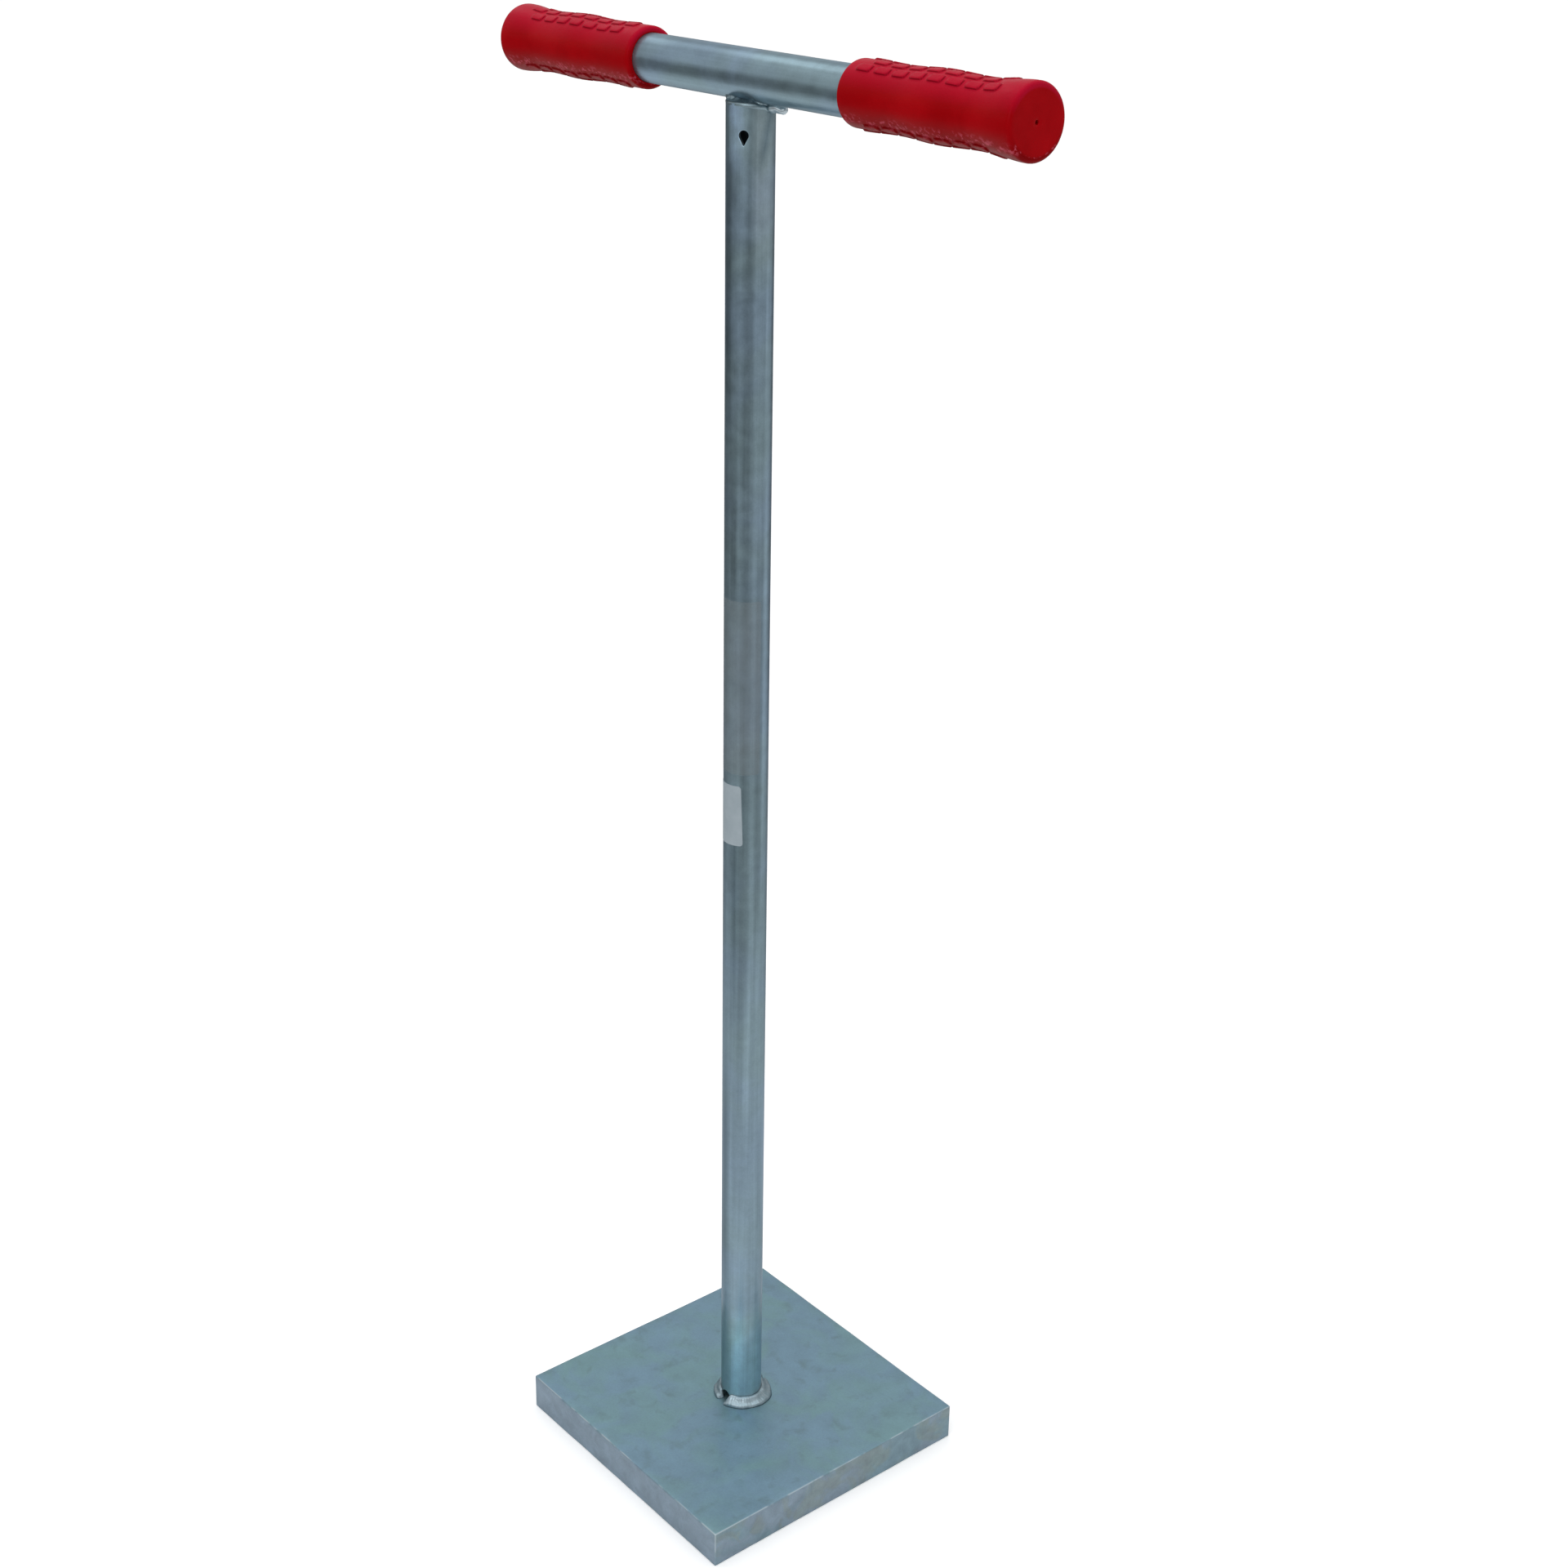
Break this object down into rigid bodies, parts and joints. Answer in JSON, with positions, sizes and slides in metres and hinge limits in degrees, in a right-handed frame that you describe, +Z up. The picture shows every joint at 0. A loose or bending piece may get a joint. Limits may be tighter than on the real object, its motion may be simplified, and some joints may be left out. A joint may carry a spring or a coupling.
{
  "type": "hand tamper",
  "caption": "Hand tamper with a thick square steel sole plate, a welded upright tube and a T crossbar with moulded red grips, for compacting soil, sand and paving.",
  "frame": {"origin": "centre of the underside of the sole plate, on the ground", "axes": "+Z up along the shaft, +X along the crossbar to the right-hand grip, -Y to the front with the labels"},
  "size_m": [0.426, 0.2, 0.9009],
  "materials": {
    "zinc_plate": "satin galvanised zinc, mottled",
    "zinc_tube": "satin galvanised zinc, drawn tube",
    "zinc_weld": "bright galvanised weld bead",
    "red_grip": "semi-gloss moulded soft vinyl",
    "label_film": "clear film label, blank",
    "label_white": "pale grey-white coated sticker, blank"
  },
  "bodies": {
    "root": {"base_plate": "zinc_plate", "shaft_tube": "zinc_tube", "crossbar_tube": "zinc_tube", "grip_left": "red_grip", "grip_right": "red_grip", "base_weld_left": "zinc_weld", "base_weld_right": "zinc_weld", "crossbar_weld_front": "zinc_weld", "crossbar_weld_rear": "zinc_weld", "film_label": "label_film", "white_label": "label_white"}
  },
  "joints": []
}
